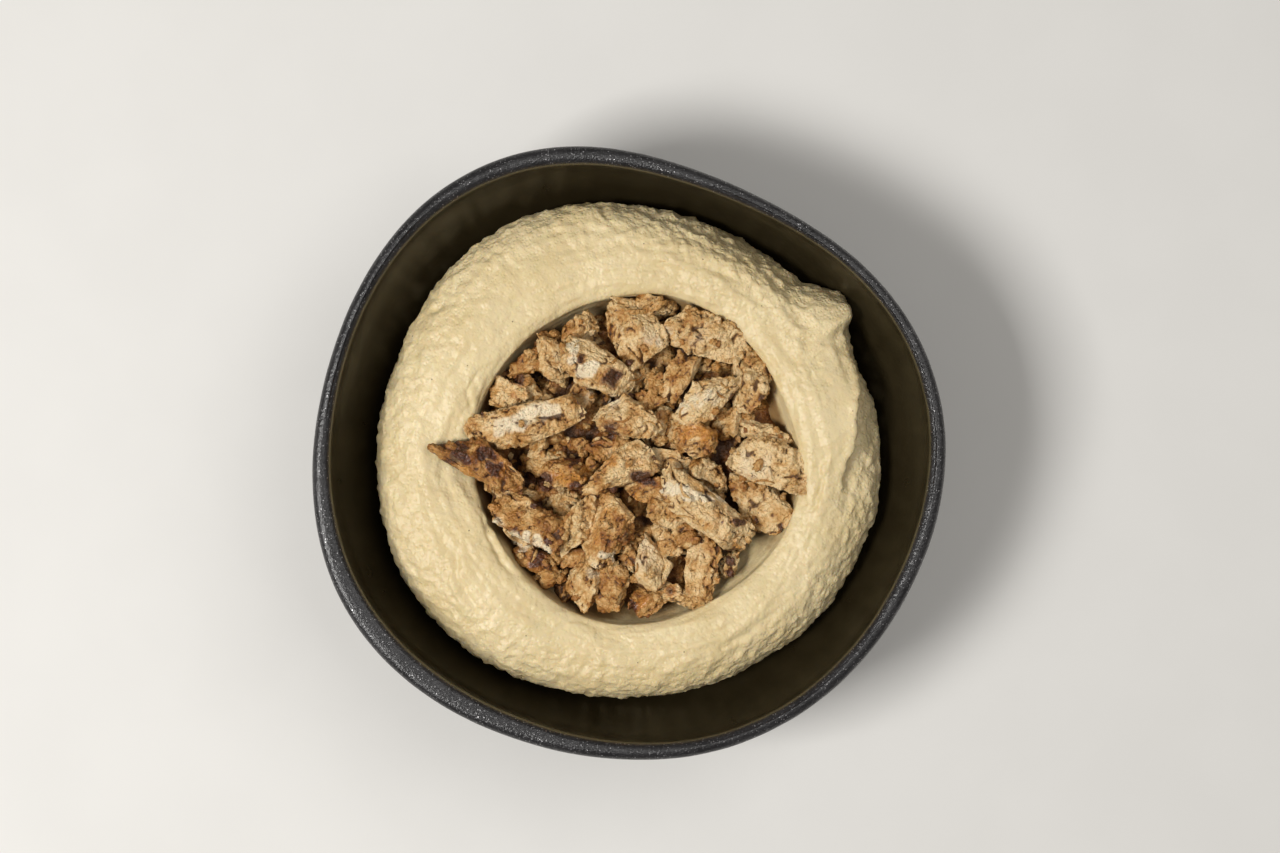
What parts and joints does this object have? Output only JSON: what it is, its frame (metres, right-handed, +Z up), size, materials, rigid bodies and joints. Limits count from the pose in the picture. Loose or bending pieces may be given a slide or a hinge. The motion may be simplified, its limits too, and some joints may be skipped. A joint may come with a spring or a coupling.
{
  "type": "bowl of hummus",
  "caption": "Deep hand-formed stoneware bowl of thick hummus, spooned into a ring whose crater is heaped with chopped, browned chicken.",
  "frame": {"origin": "under the middle of the bowl's outline, on the surface the bowl stands on", "axes": "+Z up out of the bowl; +Y towards the rim's rounded corner at the back left, +X to the right of it, with the end of the hummus's swirl at the right"},
  "size_m": [0.1912, 0.1853, 0.062],
  "materials": {
    "stoneware": "satin charcoal rim with a fine metallic speckle, glossier dark olive-brown glaze inside",
    "hummus": null,
    "chicken_bed": null,
    "chicken_pale": "cooked chicken flesh, pale and fibrous",
    "chicken_tan": "cooked chicken with a seasoned, crumbly crust",
    "chicken_browned": "cooked chicken, browned in the pan",
    "chicken_charred": "cooked chicken with dark, oily char"
  },
  "bodies": {
    "root": {"bowl": "stoneware", "hummus": "hummus", "chicken_bed": "chicken_bed", "chicken_01": "chicken_pale", "chicken_02": "chicken_pale", "chicken_03": "chicken_pale", "chicken_04": "chicken_pale", "chicken_05": "chicken_charred", "chicken_06": "chicken_browned", "chicken_07": "chicken_tan", "chicken_08": "chicken_charred", "chicken_09": "chicken_browned", "chicken_10": "chicken_tan", "chicken_11": "chicken_tan", "chicken_12": "chicken_tan", "chicken_13": "chicken_pale", "chicken_14": "chicken_tan", "chicken_15": "chicken_charred", "chicken_16": "chicken_tan", "chicken_17": "chicken_pale", "chicken_18": "chicken_browned", "chicken_19": "chicken_pale", "chicken_20": "chicken_tan", "chicken_21": "chicken_browned", "chicken_22": "chicken_browned", "chicken_23": "chicken_tan", "chicken_24": "chicken_tan", "chicken_25": "chicken_pale", "chicken_26": "chicken_tan", "chicken_27": "chicken_browned", "chicken_28": "chicken_browned", "chicken_29": "chicken_browned", "chicken_30": "chicken_tan", "chicken_31": "chicken_charred", "chicken_32": "chicken_browned", "chicken_33": "chicken_browned", "chicken_34": "chicken_charred", "chicken_35": "chicken_browned", "chicken_36": "chicken_tan", "chicken_37": "chicken_charred", "chicken_38": "chicken_tan", "chicken_39": "chicken_tan", "chicken_40": "chicken_browned", "chicken_41": "chicken_charred", "chicken_42": "chicken_browned", "chicken_43": "chicken_tan"}
  },
  "joints": []
}
